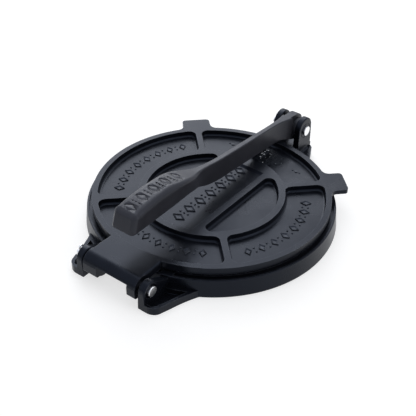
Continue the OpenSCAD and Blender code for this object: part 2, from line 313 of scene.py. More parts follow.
def dress(piece, name, body, slot, material, *nodes):
    """Names a finished piece, gives it its finish and its body, and hides the parts it stands for."""
    piece.name = name
    piece.data.name = name
    piece.data.materials.clear()
    piece.data.materials.append(material)
    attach(piece, body)
    if nodes:
        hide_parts(*nodes)
    return piece


# ---------------------------------------------------------------- shader groups
def new_group(name, inputs, outputs):
    """An empty node group with its named inputs and outputs, and the nodes at its two ends."""
    group = bpy.data.node_groups.new(name, "ShaderNodeTree")
    for label, kind, value in inputs:
        socket = group.interface.new_socket(label, in_out="INPUT", socket_type=kind)
        if value is not None:
            socket.default_value = value
    for label, kind in outputs:
        group.interface.new_socket(label, in_out="OUTPUT", socket_type=kind)
    start = group.nodes.new("NodeGroupInput")
    end = group.nodes.new("NodeGroupOutput")
    return group, start, end


def node(tree, kind, **values):
    """A new node. A value named in_ sets an input, and any other sets the node's own setting."""
    made = tree.nodes.new(kind)
    for key, value in values.items():
        if key.startswith("in_"):
            made.inputs[key[3:].replace("_", " ")].default_value = value
        else:
            setattr(made, key, value)
    return made


def make_sand_grain():
    """The fine sand-mould grain of a casting and its slow waviness, as a height."""
    tree, start, end = new_group(
        "Sand grain",
        [("Vector", "NodeSocketVector", None), ("Grain per metre", "NodeSocketFloat", 900.0),
         ("Waviness", "NodeSocketFloat", 0.35)],
        [("Height", "NodeSocketFloat")])
    grain = node(tree, "ShaderNodeTexNoise", in_Detail=3.0, in_Roughness=0.6)
    tree.links.new(start.outputs["Vector"], grain.inputs["Vector"])
    tree.links.new(start.outputs["Grain per metre"], grain.inputs["Scale"])
    waves = node(tree, "ShaderNodeTexNoise", in_Scale=70.0, in_Detail=2.0)
    tree.links.new(start.outputs["Vector"], waves.inputs["Vector"])
    scaled = node(tree, "ShaderNodeMath", operation="MULTIPLY")
    tree.links.new(waves.outputs["Fac"], scaled.inputs[0])
    tree.links.new(start.outputs["Waviness"], scaled.inputs[1])
    total = node(tree, "ShaderNodeMath", operation="ADD")
    tree.links.new(grain.outputs["Fac"], total.inputs[0])
    tree.links.new(scaled.outputs[0], total.inputs[1])
    tree.links.new(total.outputs[0], end.inputs["Height"])
    return tree


def make_rub_highlight_and_shade():
    """Masks for the crests, lighter with rubbed wear and with a painted highlight, broken up by noise, and
    for the hollows, darkened as painted shade.
    """
    tree, start, end = new_group(
        "Edge rubbing, highlight and shade",
        [("Vector", "NodeSocketVector", None), ("Amount", "NodeSocketFloat", 1.0)],
        [("Mask", "NodeSocketFloat"), ("Hollow shade", "NodeSocketFloat")])
    # the crest mask: convex edges, where rubbed wear and a painted highlight are laid on
    crest = node(tree, "ShaderNodeAmbientOcclusion", samples=8, inside=True, only_local=True,
                 in_Distance=1.6 * MM)
    thin = node(tree, "ShaderNodeMapRange", in_From_Min=0.82, in_From_Max=0.45)
    tree.links.new(crest.outputs["AO"], thin.inputs["Value"])
    # the hollow mask: recesses within 7 mm, where painted shade darkens the colour
    recess_shade = node(tree, "ShaderNodeAmbientOcclusion", samples=8, only_local=True,
                in_Distance=7 * MM)
    hollow = node(tree, "ShaderNodeMapRange", in_From_Min=0.85, in_From_Max=0.25)
    tree.links.new(recess_shade.outputs["AO"], hollow.inputs["Value"])
    patch = node(tree, "ShaderNodeTexNoise", in_Scale=160.0, in_Detail=3.0)
    tree.links.new(start.outputs["Vector"], patch.inputs["Vector"])
    broken = node(tree, "ShaderNodeMapRange", in_From_Min=0.35, in_From_Max=0.62,
                  in_To_Min=0.25, in_To_Max=1.0)
    tree.links.new(patch.outputs["Fac"], broken.inputs["Value"])
    rub_and_highlight = node(tree, "ShaderNodeMath", operation="MULTIPLY")
    tree.links.new(thin.outputs[0], rub_and_highlight.inputs[0])
    tree.links.new(broken.outputs[0], rub_and_highlight.inputs[1])
    scaled = node(tree, "ShaderNodeMath", operation="MULTIPLY", use_clamp=True)
    tree.links.new(rub_and_highlight.outputs[0], scaled.inputs[0])
    tree.links.new(start.outputs["Amount"], scaled.inputs[1])
    tree.links.new(scaled.outputs[0], end.inputs["Mask"])
    tree.links.new(hollow.outputs[0], end.inputs["Hollow shade"])
    return tree


SAND_GRAIN = make_sand_grain()
RUB_HIGHLIGHT_AND_SHADE = make_rub_highlight_and_shade()


def new_material(name):
    """A material with its node tree and its shader."""
    made = bpy.data.materials.new(name)
    made.use_nodes = True
    return made, made.node_tree, made.node_tree.nodes["Principled BSDF"]


def overlaid(tree, under, over, amount):
    """A colour laid over another, or over an earlier result, by an amount that varies."""
    mix = node(tree, "ShaderNodeMix", data_type="RGBA")
    if isinstance(under, tuple):
        mix.inputs["A"].default_value = (*under, 1)
    else:
        tree.links.new(under, mix.inputs["A"])
    mix.inputs["B"].default_value = (*over, 1)
    tree.links.new(amount, mix.inputs["Factor"])
    return mix.outputs["Result"]


def show_grain(tree, shader, grain, depth):
    """Lets the sand grain stand out of the surface by its depth in millimetres."""
    bump = node(tree, "ShaderNodeBump", in_Strength=1.0, in_Distance=depth * MM)
    tree.links.new(grain.outputs["Height"], bump.inputs["Height"])
    tree.links.new(bump.outputs["Normal"], shader.inputs["Normal"])


def seasoned_iron(name, coat, blotch, rub_and_highlight, hollow, sheen_tint, level, roughness, grain_depth, rub_and_highlight_amount):
    """Black iron with a baked oil coat, cloudy in tone, lighter on its edges with rubbed wear and a painted
    highlight, painted darker as shade and duller in its hollows.
    """
    made, tree, shader = new_material(name)
    shader.inputs["Specular IOR Level"].default_value = level
    shader.inputs["Sheen Weight"].default_value = 0.07
    shader.inputs["Sheen Roughness"].default_value = 0.35
    shader.inputs["Sheen Tint"].default_value = (*sheen_tint, 1)
    shader.inputs["Specular Tint"].default_value = (*sheen_tint, 1)
    place = node(tree, "ShaderNodeTexCoord")
    grain = node(tree, "ShaderNodeGroup", node_tree=SAND_GRAIN)
    edges = node(tree, "ShaderNodeGroup", node_tree=RUB_HIGHLIGHT_AND_SHADE, in_Amount=rub_and_highlight_amount)
    clouds = node(tree, "ShaderNodeTexNoise", in_Scale=28.0, in_Detail=5.0, in_Roughness=0.62)
    for user in (grain, edges, clouds):
        tree.links.new(place.outputs["Object"], user.inputs["Vector"])
    spread = node(tree, "ShaderNodeMapRange", in_From_Min=0.34, in_From_Max=0.68)
    tree.links.new(clouds.outputs["Fac"], spread.inputs["Value"])
    tone = overlaid(tree, coat, blotch, spread.outputs[0])
    # the recesses painted darker, as painted shade
    shade_painted_in = overlaid(tree, tone, hollow, edges.outputs["Hollow shade"])
    # the crests painted lighter, partly as rubbed wear and partly as a painted highlight
    worn_and_highlit = overlaid(tree, shade_painted_in, rub_and_highlight, edges.outputs["Mask"])
    tree.links.new(worn_and_highlit, shader.inputs["Base Color"])
    glossier, duller, hollow_duller = 0.05, 0.07, 0.05
    gloss = node(tree, "ShaderNodeMapRange", in_To_Min=roughness - glossier,
                 in_To_Max=roughness + duller)
    tree.links.new(spread.outputs[0], gloss.inputs["Value"])
    dulled = node(tree, "ShaderNodeMath", operation="MULTIPLY_ADD", use_clamp=True)
    dulled.inputs[1].default_value = hollow_duller
    tree.links.new(edges.outputs["Hollow shade"], dulled.inputs[0])
    tree.links.new(gloss.outputs[0], dulled.inputs[2])
    tree.links.new(dulled.outputs[0], shader.inputs["Roughness"])
    show_grain(tree, shader, grain, grain_depth)
    return made


def speckled_iron(name, bare, fleck):
    """Iron as it left the sand: dark, with rubbed flecks on all of its grain but the bare share."""
    dark, grain_depth = (0.002, 0.0023, 0.003), 0.35
    made, tree, shader = new_material(name)
    shader.inputs["Specular Tint"].default_value = (0.7, 0.8, 1.0, 1)
    shader.inputs["Specular IOR Level"].default_value = 0.25
    place = node(tree, "ShaderNodeTexCoord")
    grain = node(tree, "ShaderNodeGroup", node_tree=SAND_GRAIN, in_Grain_per_metre=420.0)
    tree.links.new(place.outputs["Object"], grain.inputs["Vector"])
    spots = node(tree, "ShaderNodeTexVoronoi", in_Scale=400.0, in_Randomness=1.0)
    tree.links.new(place.outputs["Object"], spots.inputs["Vector"])
    flecks = node(tree, "ShaderNodeMapRange", in_From_Min=0.42, in_From_Max=0.16)
    tree.links.new(spots.outputs["Distance"], flecks.inputs["Value"])
    some = node(tree, "ShaderNodeMath", operation="GREATER_THAN")
    some.inputs[1].default_value = bare
    parts = node(tree, "ShaderNodeSeparateColor")
    tree.links.new(spots.outputs["Color"], parts.inputs["Color"])
    tree.links.new(parts.outputs["Red"], some.inputs[0])
    kept = node(tree, "ShaderNodeMath", operation="MULTIPLY")
    tree.links.new(flecks.outputs[0], kept.inputs[0])
    tree.links.new(some.outputs[0], kept.inputs[1])
    tree.links.new(overlaid(tree, dark, fleck, kept.outputs[0]), shader.inputs["Base Color"])
    gloss = node(tree, "ShaderNodeMapRange", in_To_Min=0.62, in_To_Max=0.42)
    tree.links.new(kept.outputs[0], gloss.inputs["Value"])
    tree.links.new(gloss.outputs[0], shader.inputs["Roughness"])
    show_grain(tree, shader, grain, grain_depth)
    return made


def bright_zinc(name):
    """Zinc-plated steel with faint draw marks along X."""
    made, tree, shader = new_material(name)
    shader.inputs["Metallic"].default_value = 1.0
    place = node(tree, "ShaderNodeTexCoord")
    stretch = node(tree, "ShaderNodeMapping", in_Scale=(40.0, 900.0, 900.0))
    tree.links.new(place.outputs["Object"], stretch.inputs["Vector"])
    marks = node(tree, "ShaderNodeTexNoise", in_Scale=1.0, in_Detail=2.0)
    tree.links.new(stretch.outputs[0], marks.inputs["Vector"])
    tone = overlaid(tree, (0.90, 0.91, 0.93), (0.98, 0.98, 0.99), marks.outputs["Fac"])
    tree.links.new(tone, shader.inputs["Base Color"])
    gloss = node(tree, "ShaderNodeMapRange", in_To_Min=0.24, in_To_Max=0.36)
    tree.links.new(marks.outputs["Fac"], gloss.inputs["Value"])
    tree.links.new(gloss.outputs[0], shader.inputs["Roughness"])
    return made


# the crest colour is rubbed wear and a painted highlight; the hollow colour is painted shade in the
# recesses
BLACK_IRON = seasoned_iron("Seasoned black iron", coat=(0.0024, 0.0028, 0.0044),
                           blotch=(0.0046, 0.0054, 0.0082), rub_and_highlight=(0.038, 0.042, 0.052),
                           hollow=(0.0012, 0.0012, 0.0018), sheen_tint=(0.64, 0.75, 1.0),
                           level=0.22, roughness=0.29, grain_depth=0.035, rub_and_highlight_amount=1.0)
ROUGH_PAD = speckled_iron("Rough speckled pad", bare=0.42, fleck=(0.80, 0.83, 0.88))
ROUGH_FLOOR = speckled_iron("Rough dark floor", bare=0.86, fleck=(0.10, 0.11, 0.12))
# the crest colour is rubbed wear and a painted highlight; the hollow colour is painted shade in the
# recesses
LEVER_IRON = seasoned_iron("Handled lever iron", coat=(0.0270, 0.0272, 0.0330),
                           blotch=(0.0330, 0.0332, 0.0400), rub_and_highlight=(0.060, 0.060, 0.066),
                           hollow=(0.0060, 0.0060, 0.0072), sheen_tint=(0.80, 0.86, 1.0),
                           level=0.30, roughness=0.38, grain_depth=0.03, rub_and_highlight_amount=1.0)
ZINC = bright_zinc("Bright zinc plate")


# ---------------------------------------------------------------- round base
# half of the base's section, from the middle of its top around to the middle of its underside
BASE_PROFILE = [(0, BASE_H), (131.7, BASE_H), (132.2, 20.02), (132.5, 19.6), (132.6, 19.0),
                (132.6, 18.0), (134.35, 2.2), (134.4, 1.4), (134.1, 0.6), (133.2, 0), (0, 0)]


def make_ear():
    """The hinge ear on the +X side with its low, hollowed foot."""
    foot_top, foot_floor = 8.2, 2.2
    plan = [(40, -161), (51, -160.9), (56, -156), (59.5, -144.7), (62.8, -133.6),
            (66.3, -122.6), (71.6, -112), (58, -98), (40, -98)]
    foot = prism(plan, "Z", 0, foot_top)
    for x, y, corner_r in ((51, -160.9, 4.6), (56, -156, 4.6), (66.3, -122.6, 9)):
        round_edges(foot, vertical_at(x, y), corner_r, 5)
    pocket = prism([(38, -157.8), (50, -157.8), (52.6, -154.6), (56.2, -144.2), (59.4, -133),
                    (62.6, -122.6), (66, -114), (60, -100), (38, -100)], "Z", foot_floor, 12)
    cut(pocket, disc(BASE_R + 2.2, 0, 14))
    round_edges(pocket, flat_at(foot_floor), 1.6, 3)
    cut(foot, pocket)
    # the ear's side view: along the ground, up beside the base, then over its round head
    head_start = math.radians(40)
    outline = [(HINGE_Y - EAR_R, 0), (-122, 0), (-122, 18.2), (-128.6, 18.2),
               (HINGE_Y + EAR_R * math.cos(head_start), HINGE_Z + EAR_R * math.sin(head_start))]
    outline += arc(HINGE_Y, HINGE_Z, EAR_R, 52, 180, 9)
    ear = prism(outline, "X", EAR_IN, EAR_OUT)
    rim = lambda e: (square_to_x(e)
                     and all(v.co.z / MM > 9 and v.co.y / MM < -127 for v in e.verts))
    round_edges(ear, rim, 1.8, 4)
    recess_r, recess_depth = 7.9, 1.5
    cut(ear, bar(EAR_OUT - recess_depth, EAR_OUT + 3, HINGE_Y, HINGE_Z, recess_r))
    return combine(ear, foot)


def add_lever_posts(base):
    """The two posts that hold the lever, on their flared foot, with a small gusset beside each."""
    flare = [(44, 124.2), (35, 143.8), (30.4, 151.5), (26.8, 159), (22.5, 168), (18.5, 171.6)]
    shelf = prism(flare + [(-x, y) for x, y in reversed(flare)], "Z", 0, 10)
    for side in (-1, 1):
        round_edges(shelf, vertical_at(side * 35, 143.8), 8, 4)
        round_edges(shelf, vertical_at(side * 18.5, 171.6), 2.5, 3)
    combine(base, shelf)
    # the low block between the posts' feet, a hair narrower than the posts
    combine(base, block(-POST_OUT + 0.05, POST_OUT - 0.05, 129.6, 171.35, 4, 15))
    seat_ring_r, seat_ring_thick = 8.6, 0.5
    for side in (-1, 1):
        x0 = POST_IN if side > 0 else -POST_OUT
        x1 = x0 + POST_OUT - POST_IN
        outline = (arc(PIVOT_Y, PIVOT_Z + POST_RISE, POST_R, 0, 180, 7.5)
                   + [(PIVOT_Y - POST_R, 3), (PIVOT_Y + POST_R, 3)])
        post = prism(outline, "X", x0, x1)
        crown = lambda e: square_to_x(e) and all(v.co.z / MM > 20 for v in e.verts)
        round_edges(post, crown, 1.2, 3)
        cut(post, ring(side * POST_OUT, PIVOT_Y, PIVOT_Z, seat_ring_r, seat_ring_thick))
        curve = arc(POST_OUT + 5.1, 14.4, 5, 177, 270, 15)
        gusset = prism([(side * x, z) for x, z in [(POST_OUT - 2, 14.6)] + curve
                        + [(POST_OUT + 5, 8), (POST_OUT - 2, 8)]], "Y", 147.3, 163.7)
        combine(base, combine(post, gusset))


def hollow_out(base):
    """The room under the base, between its skirt, its crossed ribs and its middle boss."""
    ceiling, rib_half, boss_r = BASE_H - BASE_TOP_WALL, 3, 18
    hollow = disc(BASE_R - SKIRT_WALL, -1, ceiling)
    round_edges(hollow, flat_at(ceiling), 3, 3)
    for angle in (0, 90):
        cut(hollow, turned(block(-BASE_R, BASE_R, -rib_half, rib_half, 2, BASE_H), angle))
    cut(base, cut(hollow, disc(boss_r, -2, BASE_H, 64)))


def make_base():
    """The base casting: its platen and skirt, the posts, the ears, the hollow, the groove and the bores."""
    base = lathe(BASE_PROFILE)
    add_lever_posts(base)
    ear = make_ear()
    combine(base, join(ear, [mirrored(ear)]))
    hollow_out(base)
    # the groove inside the lip stops short of both ears
    groove = disc(GROOVE_OUT, BASE_H - GROOVE_DEPTH, BASE_H + 3)
    for side in (-1, 1):
        cut(groove, block(side * EAR_X - 6, side * EAR_X + 6, -140, -110, 10, 30))
    cut(base, cut(groove, disc(GROOVE_IN, BASE_H - 5, BASE_H + 5)))
    cut(base, bar(-60, 60, HINGE_Y, HINGE_Z, HINGE_PIN_R + STILL_FIT, 48))
    cut(base, bar(-30, 30, PIVOT_Y, PIVOT_Z, LEVER_PIN_R + STILL_FIT, 48))
    return soften(base, 0.9)


# ---------------------------------------------------------------- top plate
def well_tool():
    """One quarter's well, with rounded corners and a floor that sweeps up to its walls."""
    r, half = WELL_CORNER_R, SPOKE_W / 2
    diagonal = math.radians(45)
    corners = []
    for reach in (WELL_OUT - r, RING_OUT + r):
        along = math.sqrt(reach ** 2 - (half + r) ** 2)
        corners.append((along * math.cos(diagonal) + (half + r) * math.sin(diagonal),
                        along * math.sin(diagonal) - (half + r) * math.cos(diagonal)))
    (ox, oy), (ix, iy) = corners
    outer, inner = (math.degrees(math.atan2(y, x)) for x, y in corners)
    side = arc(0, 0, WELL_OUT, 0, outer, 2.4) + arc(ox, oy, r, outer, 135)[1:]
    side += arc(ix, iy, r, 135, 180 + inner) + arc(0, 0, RING_OUT, inner, 0, 3.4)[1:]
    outline = side + [(x, -y) for x, y in reversed(side)][1:-1]
    tool = prism(outline, "Z", WELL_FLOOR, RIM_Z + 4)
    return round_edges(tool, flat_at(WELL_FLOOR), FLOOR_SWEEP, 4)


def pocket_tool():
    """The D-shaped pocket on the +X side."""
    r = POCKET_CORNER_R
    x = POCKET_X + r
    y = math.sqrt((RING_IN - r) ** 2 - x ** 2)
    turn = math.degrees(math.atan2(y, x))
    side = arc(0, 0, RING_IN, 0, turn, 3) + arc(x, y, r, turn, 180)[1:]
    outline = side + [(a, -b) for a, b in reversed(side)][:-1]
    tool = prism(outline, "Z", WELL_FLOOR, RIM_Z + 4)
    return round_edges(tool, flat_at(WELL_FLOOR), FLOOR_SWEEP, 4)


def lozenge(x, y, z, long, wide, tall, turn=0.0, lean=0.0, stroke=0.0, sink=0.0):
    """A small raised lozenge with steep sides and, with a stroke, a sunk middle."""
    root = 0.5          # how far it reaches down into what it stands on
    clear_selection()
    bpy.ops.mesh.primitive_cone_add(vertices=4, radius1=0.5, radius2=0.47, depth=1)
    piece = bpy.context.object
    piece.scale = Vector((long, wide, tall + root)) * MM
    piece.location = (0, 0, (tall / 2 - root / 2) * MM)
    settle(piece)
    if stroke:
        pick(piece, lambda f: f.normal.z > 0.9, "faces")
        bpy.ops.mesh.inset(thickness=stroke * MM, depth=0)
        bpy.ops.transform.translate(value=(0, 0, -sink * MM))
        bpy.ops.object.mode_set(mode="OBJECT")
    piece.rotation_euler = (lean, 0, math.radians(turn))
    piece.location = Vector((x, y, z)) * MM
    return settle(piece)


def bead(x, y, z, r, tall):
    """A low round bead, its middle at the height of what it stands on."""
    clear_selection()
    bpy.ops.mesh.primitive_uv_sphere_add(segments=12, ring_count=8, radius=1,
                                         location=Vector((x, y, z)) * MM,
                                         scale=Vector((r, r, tall)) * MM)
    return settle(bpy.context.object)


def well_marks(middle, half_span, r, count):
    """Lozenges on an arc about the plate's middle, with a pair of beads between each two."""
    made = []
    for i in range(count):
        degrees = middle - half_span + 2 * half_span * i / (count - 1)
        a = math.radians(degrees)
        if i % 2 == 0:
            made.append(lozenge(r * math.cos(a), r * math.sin(a), WELL_FLOOR, 12.0, 8.0, 0.9,
                                turn=degrees, stroke=1.4, sink=0.8))
        else:
            made += [bead((r + out) * math.cos(a), (r + out) * math.sin(a), WELL_FLOOR, 1.1, 0.9)
                     for out in (-3, 3)]
    return made


def panel_marks(start, run, count):
    """Lozenges in a row along the panel, with three beads between each two."""
    made = []
    for i in range(count):
        y = start + run * i / (count - 1)
        if i % 2 == 0:
            made.append(lozenge(0, y, PANEL_FLOOR, 16, 10.0, 1.2, stroke=1.6, sink=1.1))
        else:
            made += [bead(x, y, PANEL_FLOOR, 1.3, 1.1) for x in (-5.0, 0, 5.0)]
    return made


def small_marks(x, y):
    """A small plain lozenge between two beads on the far well's floor."""
    return [lozenge(x, y, WELL_FLOOR, 4.6, 4.6, 0.8)] + [
        bead(x + out, y, WELL_FLOOR, 1.1, 0.8) for out in (-4.4, 4.4)]


def make_tongue():
    """The tongue that rolls over the hinge pin, with a round knuckle under each of its ends."""
    roll_wall, thick, knuckle_drop = 5, 8.5, 9.5
    hood = (arc(HINGE_Y, HINGE_Z, ROLL_R, 90, 160, 5)
            + arc(HINGE_Y, HINGE_Z, ROLL_R - roll_wall, 146, 90, 8))
    tongue = prism([(TONGUE_Y, RIM_Z)] + hood + [(HINGE_Y, RIM_Z - thick), (TONGUE_Y, RIM_Z - thick)],
                   "X", -TONGUE_X, TONGUE_X)

    def crest(edge):
        """The end edges of the tongue's top and of its roll."""
        return square_to_x(edge) and all(
            v.co.z / MM > RIM_Z - 0.05
            or math.hypot(v.co.y / MM - HINGE_Y, v.co.z / MM - HINGE_Z) > ROLL_R - 0.1
            for v in edge.verts)

    def low_front(edge):
        """The knuckle block's lower front edge."""
        return not square_to_x(edge) and all(
            v.co.y / MM < HINGE_Y - 5 and v.co.z / MM < HINGE_Z - 5 for v in edge.verts)

    round_edges(tongue, crest, 2.4, 5)
    for x0, x1 in ((-TONGUE_X, -16), (TONGUE_X - 10, TONGUE_X)):
        knuckle = block(x0, x1, HINGE_Y - ROLL_R, HINGE_Y, HINGE_Z - knuckle_drop, HINGE_Z + 2)
        round_edges(knuckle, low_front, 3, 4)
        combine(knuckle, bar(x0, x1, HINGE_Y, HINGE_Z, ROLL_R - 0.02))
        combine(tongue, knuckle)
    return tongue


def panel_tool():
    """The shallow panel between the pockets, its far end sloping up to the ring."""
    tool = disc(RING_IN, PANEL_FLOOR, RIM_Z + 4)
    for side in (-1, 1):
        slice_off(tool, (side * PANEL_X, 0, 0), (side, 0, 0))
    slice_off(tool, (0, 58, PANEL_FLOOR), (0, 2.6, -13))
    return round_edges(tool, flat_at(PANEL_FLOOR), 1.2, 3)


def make_top_plate():
    """The top plate: its disc, side tabs and hinge tongue, with the wells, pockets and marks."""
    plate = lathe([(0, RIM_Z), (LID_R, RIM_Z), (LID_R, 23.4), (LID_R - 0.7, 22.7), (124.6, 22.3),
                   (124.2, 21.8), (124.2, LID_Z), (0, LID_Z)])
    side = [(122, 22.2), (124.9, 22.2)] + arc(132.85, 24, 8, 191, 270) + arc(141.5, 12, 4, 90, 0, 15)
    tab = [(x, -y) for x, y in side] + side[::-1]
    for angle in (45, 135):
        combine(plate, turned(prism(tab, "Z", RIM_Z - 5, RIM_Z), angle))
    combine(plate, make_tongue())
    for angle in (0, 90, 180, 270):
        cut(plate, turned(well_tool(), angle))
    for angle in (0, 180):
        cut(plate, turned(pocket_tool(), angle))
    cut(plate, panel_tool())
    cut(plate, bar(-50, 50, HINGE_Y, HINGE_Z, HINGE_PIN_R + TURNING_FIT, 48))
    soften(plate, 1.0)
    marks = panel_marks(-56, 107, 13)
    marks += well_marks(179, 32, 100, 15) + well_marks(-1, 31, 100, 15) + well_marks(-86, 28, 97, 13)
    marks += small_marks(46.4, 93.8) + small_marks(-41.4, 95.4)
    return join(plate, marks)


# ---------------------------------------------------------------- rough pad and floor
# lumps about 2.5 mm across
SAND_LUMPS = bpy.data.textures.new("sand lumps", "CLOUDS")
SAND_LUMPS.noise_scale, SAND_LUMPS.noise_depth = 0.0025, 2


def roughened(piece, depth):
    """Sinks a surface in lumps, as the sand of the mould leaves it."""
    activate(piece)
    rough = piece.modifiers.new("rough", "DISPLACE")
    rough.texture, rough.strength, rough.mid_level = SAND_LUMPS, depth * MM, 1.0
    bpy.ops.object.modifier_apply(modifier=rough.name)
    bpy.ops.object.shade_smooth_by_angle(angle=math.radians(50))
    return piece


def make_pad():
    """The rough cast pad that the lever bears on."""
    pad = prism([(76, 22), (101, 22), (100, 34.4), (79, 35.6), (76.2, 30.5)], "X", -9, 9)
    round_edges(pad, lambda e: all(v.co.z / MM > 30 for v in e.verts), 1.6, 3)
    pick(pad, everything, "faces")
    bpy.ops.mesh.subdivide(number_cuts=9)
    bpy.ops.mesh.quads_convert_to_tris()
    bpy.ops.object.mode_set(mode="OBJECT")
    return roughened(pad, 1.1)


def make_rough_floor():
    """The low, rough swelling of the well's floor around the pad, flattened below its middle."""
    middle_z = 22.6
    clear_selection()
    bpy.ops.mesh.primitive_ico_sphere_add(subdivisions=7, radius=1,
                                          location=Vector((0, 98.5, middle_z)) * MM,
                                          scale=Vector((31, 20.5, 4.0)) * MM)
    swelling = settle(bpy.context.object)
    pick(swelling, lambda v: v.co.z < middle_z * MM, "verts")
    bpy.ops.transform.resize(value=(1, 1, 0.2), center_override=(0, 0, middle_z * MM))
    bpy.ops.object.mode_set(mode="OBJECT")
    return roughened(swelling, 1.4)


# ---------------------------------------------------------------- lever
# place along Y, underside, top, half width, radius of the top and of the bottom edges, lean of the end
LEVER_STATIONS = [
    (-141.0, 64.0, 77.4, 9.9, 2.2, 2.0, 0.33), (-140.5, 62.5, 79.0, 11.6, 2.8, 2.4, 0.33),
    (-139.4, 61.5, 80.2, 13.0, 3.6, 2.6, 0.32), (-136.6, 61.0, 81.3, 14.1, 4.6, 2.8, 0.27),
    (-131.0, 61.0, 82.3, 14.2, 6.4, 2.8, 0.16), (-124.0, 61.0, 83.3, 14.2, 6.4, 2.8, 0.06),
    (-118.0, 61.0, 83.9, 14.2, 6.4, 2.8, 0.0), (-105.0, 61.2, 84.85, 14.2, 6.4, 2.8, 0.0),
    (-93.0, 61.4, 85.15, 14.2, 6.4, 2.8, 0.0), (-80.0, 61.6, 84.6, 14.2, 6.4, 2.8, 0.0),
    (-67.0, 62.0, 82.6, 14.1, 4.6, 2.8, 0.0), (-57.0, 61.9, 80.2, 13.5, 4.4, 2.6, 0.0),
    (-49.0, 60.6, 77.8, 12.3, 4.2, 2.4, 0.0), (-42.0, 58.4, 75.5, 10.6, 3.8, 2.2, 0.0),
    (-36.0, 56.0, 73.7, 8.2, 3.2, 2.0, 0.0), (-30.0, 53.4, 72.2, 6.0, 2.4, 1.8, 0.0),
    (-24.0, 50.3, 71.0, 4.5, 1.9, 1.5, 0.0), (-17.0, 47.0, 69.9, 3.7, 1.5, 1.2, 0.0),
    (-9.0, 44.4, 68.6, 3.3, 1.3, 1.0, 0.0), (0.0, 42.4, 67.2, 3.2, 1.2, 0.9, 0.0),
    (12.0, 40.6, 65.5, 3.2, 1.2, 0.9, 0.0), (60.0, 37.4, 61.9, 3.2, 1.2, 0.9, 0.0),
    (104.0, 34.6, 58.7, 3.2, 1.2, 0.9, 0.0), (113.0, 33.9, 58.1, 3.3, 1.2, 0.9, 0.0),
    (120.0, 33.2, 57.6, 3.5, 1.2, 0.9, 0.0), (126.5, 32.2, 57.0, 3.9, 1.2, 0.9, 0.0),
    (132.0, 30.6, 56.4, 4.6, 1.2, 0.9, 0.0), (137.0, 28.8, 55.8, 5.5, 1.2, 0.9, 0.0),
    (143.0, 26.6, 55.2, 6.6, 1.2, 0.9, 0.0), (150.0, 24.2, 54.5, 7.4, 1.2, 1.0, 0.0),
    (157.0, 22.6, 53.6, 7.4, 1.2, 1.0, 0.0)
]
# where along Y the lever's sections stand, closer together where its shape changes
LEVER_PLACES = ([-141.0, -140.7, -139.9, -138.8, -137.0] + [-135.0 + 2.5 * i for i in range(54)]
                + [4.0 + 10 * i for i in range(10)] + [104.0 + 4 * i for i in range(8)]
                + [134.5, 137.0, 138.0, 141.0, 145.0, 150.0, 153.5, 156.8])
CORNER_POINTS = 6


def lever_section(low, high, half, top_r, low_r, lean, y):
    """The corners of one section of the lever: a rectangle with four rounded corners."""
    points = []
    corners = [(half - top_r, high - top_r, top_r, 0), (-half + top_r, high - top_r, top_r, 90),
               (-half + low_r, low + low_r, low_r, 180), (half - low_r, low + low_r, low_r, 270)]
    for x, z, r, start in corners:
        for i in range(CORNER_POINTS):
            a = math.radians(start + 18 * i)
            points.append((x + r * math.cos(a), z + r * math.sin(a)))
    return [Vector((x, y + lean * (z - low), z)) * MM for x, z in points]


def between(stations, y):
    """The stations' values at a place, on a smooth curve through them."""
    last = len(stations) - 1
    i = max(k for k in range(last) if stations[k][0] <= y + 1e-6)
    a, b = stations[i], stations[i + 1]
    before, after = stations[max(i - 1, 0)], stations[min(i + 2, last)]
    span = b[0] - a[0]
    t = (y - a[0]) / span
    values = []
    for k in range(1, len(a)):
        slope_a = (b[k] - before[k]) / (b[0] - before[0]) * span
        slope_b = (after[k] - a[k]) / (after[0] - a[0]) * span
        values.append((2 * t ** 3 - 3 * t ** 2 + 1) * a[k] + (t ** 3 - 2 * t ** 2 + t) * slope_a
                      + (3 * t ** 2 - 2 * t ** 3) * b[k] + (t ** 3 - t ** 2) * slope_b)
    return values


def make_arm():
    """The lever's arm and grip, extruded from section to section."""
    sections = [lever_section(*between(LEVER_STATIONS, y), y) for y in LEVER_PLACES]
    around = 4 * CORNER_POINTS
    clear_selection()
    bpy.ops.mesh.primitive_circle_add(vertices=around, radius=1, fill_type="NGON")
    arm = bpy.context.object
    for corner, spot in zip(arm.data.vertices, sections[0]):
        corner.co = spot
    bpy.ops.object.mode_set(mode="EDIT")
    bpy.ops.mesh.select_mode(type="VERT")
    bpy.ops.mesh.select_all(action="SELECT")
    for here, ahead in zip(sections, sections[1:]):
        bpy.ops.mesh.extrude_region_move()
        shape = bmesh.from_edit_mesh(arm.data)
        for v in [v for v in shape.verts if v.select]:
            nearest = min(range(around), key=lambda i: (here[i] - v.co).length)
            v.co = ahead[nearest]
        bmesh.update_edit_mesh(arm.data)
    bpy.ops.mesh.select_all(action="SELECT")
    bpy.ops.mesh.remove_doubles(threshold=0.000001)
    close_edit(outward=True)
    return arm


def sink_grip_marks(lever, start, run, count):
    """Lozenges sunk into the grip's top, with three small square dots between each two."""
    for i in range(count):
        y = start + run * i / (count - 1)
        high = between(LEVER_STATIONS, y)[1]
        rise = between(LEVER_STATIONS, y + 1)[1] - between(LEVER_STATIONS, y - 1)[1]
        upside_down = math.atan(rise / 2) + math.pi
        if i % 2 == 0:
            cut(lever, lozenge(0, y, high, 15.6, 9.4, 1.0, lean=upside_down, stroke=1.6, sink=1.3))
        else:
            for x in (-4, 0, 4):
                cut(lever, lozenge(x, y, high, 2.4, 2.4, 1.0, turn=45, lean=upside_down))


